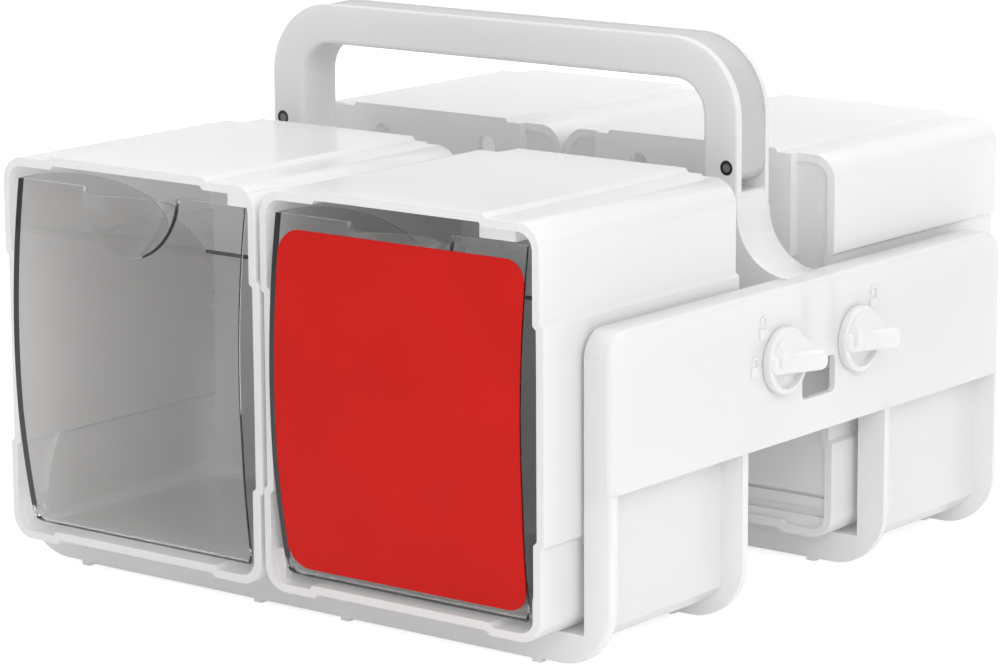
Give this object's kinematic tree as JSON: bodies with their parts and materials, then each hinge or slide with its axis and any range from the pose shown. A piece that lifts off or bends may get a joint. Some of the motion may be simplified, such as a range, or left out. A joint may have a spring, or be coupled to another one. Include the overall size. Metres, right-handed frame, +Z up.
{
  "type": "tilt bin organizer",
  "caption": "Portable organizer: a carrier with an arch handle holds interlocking housings, back to back, whose clear bins tilt out at the front and whose side knobs lock them in.",
  "frame": {"origin": "bottom centre of the bounding box, on the surface the carrier's feet stand on", "axes": "+X to the right of a person facing the front bins, -Y to the front, +Z up"},
  "size_m": [0.2788, 0.2708, 0.1857],
  "materials": {
    "white_plastic": "semi-gloss moulded white",
    "knob_plastic": "semi-gloss moulded white",
    "clear_plastic": "clear polished plastic",
    "grey_plastic": "satin moulded light grey",
    "steel": "plain steel",
    "red_label": "plain printed sheet"
  },
  "bodies": {
    "carrier": {"front_cradle": "white_plastic", "rear_cradle": "white_plastic", "left_rail": "white_plastic", "right_rail": "white_plastic", "handle_frame": "white_plastic", "handle_core": "grey_plastic", "handle_pins": "steel"},
    "module_front_left": {"housing_front_left": "white_plastic"},
    "tilt_bin_front_left": {"bin_front_left": "clear_plastic"},
    "lock_front_left": {"knob_front_left": "knob_plastic", "lock_arm_front_left": "white_plastic", "knob_screw_front_left": "steel"},
    "module_front_right": {"housing_front_right": "white_plastic"},
    "tilt_bin_front_right": {"bin_front_right": "clear_plastic", "bin_label": "red_label"},
    "lock_front_right": {"knob_front_right": "knob_plastic", "lock_arm_front_right": "white_plastic", "knob_screw_front_right": "steel"},
    "module_rear_left": {"housing_rear_left": "white_plastic"},
    "tilt_bin_rear_left": {"bin_rear_left": "clear_plastic"},
    "lock_rear_left": {"knob_rear_left": "knob_plastic", "lock_arm_rear_left": "white_plastic", "knob_screw_rear_left": "steel"},
    "module_rear_right": {"housing_rear_right": "white_plastic"},
    "tilt_bin_rear_right": {"bin_rear_right": "clear_plastic"},
    "lock_rear_right": {"knob_rear_right": "knob_plastic", "lock_arm_rear_right": "white_plastic", "knob_screw_rear_right": "steel"}
  },
  "joints": [
    {"name": "module_front_left_slide", "type": "slide", "parent": "carrier", "child": "module_front_left", "axis": [0, -1, 0], "range_m": [0, 0.087]},
    {"name": "tilt_bin_front_left_hinge", "type": "hinge", "parent": "module_front_left", "child": "tilt_bin_front_left", "pos_m": [-0.0575, -0.1255, 0.0209], "axis": [1, 0, 0], "range_deg": [0, 45]},
    {"name": "lock_front_left_turn", "type": "hinge", "parent": "carrier", "child": "lock_front_left", "pos_m": [-0.1276, -0.022, 0.0853], "axis": [-1, 0, 0], "range_deg": [0, 45]},
    {"name": "module_front_right_slide", "type": "slide", "parent": "carrier", "child": "module_front_right", "axis": [0, -1, 0], "range_m": [0, 0.087]},
    {"name": "tilt_bin_front_right_hinge", "type": "hinge", "parent": "module_front_right", "child": "tilt_bin_front_right", "pos_m": [0.0575, -0.1255, 0.0209], "axis": [1, 0, 0], "range_deg": [0, 45]},
    {"name": "lock_front_right_turn", "type": "hinge", "parent": "carrier", "child": "lock_front_right", "pos_m": [0.1276, -0.022, 0.0853], "axis": [-1, 0, 0], "range_deg": [0, 45]},
    {"name": "module_rear_left_slide", "type": "slide", "parent": "carrier", "child": "module_rear_left", "axis": [0, 1, 0], "range_m": [0, 0.087]},
    {"name": "tilt_bin_rear_left_hinge", "type": "hinge", "parent": "module_rear_left", "child": "tilt_bin_rear_left", "pos_m": [-0.0575, 0.1255, 0.0209], "axis": [-1, 0, 0], "range_deg": [0, 45]},
    {"name": "lock_rear_left_turn", "type": "hinge", "parent": "carrier", "child": "lock_rear_left", "pos_m": [-0.1276, 0.022, 0.0853], "axis": [1, 0, 0], "range_deg": [0, 45]},
    {"name": "module_rear_right_slide", "type": "slide", "parent": "carrier", "child": "module_rear_right", "axis": [0, 1, 0], "range_m": [0, 0.087]},
    {"name": "tilt_bin_rear_right_hinge", "type": "hinge", "parent": "module_rear_right", "child": "tilt_bin_rear_right", "pos_m": [0.0575, 0.1255, 0.0209], "axis": [-1, 0, 0], "range_deg": [0, 45]},
    {"name": "lock_rear_right_turn", "type": "hinge", "parent": "carrier", "child": "lock_rear_right", "pos_m": [0.1276, 0.022, 0.0853], "axis": [1, 0, 0], "range_deg": [0, 45]}
  ]
}
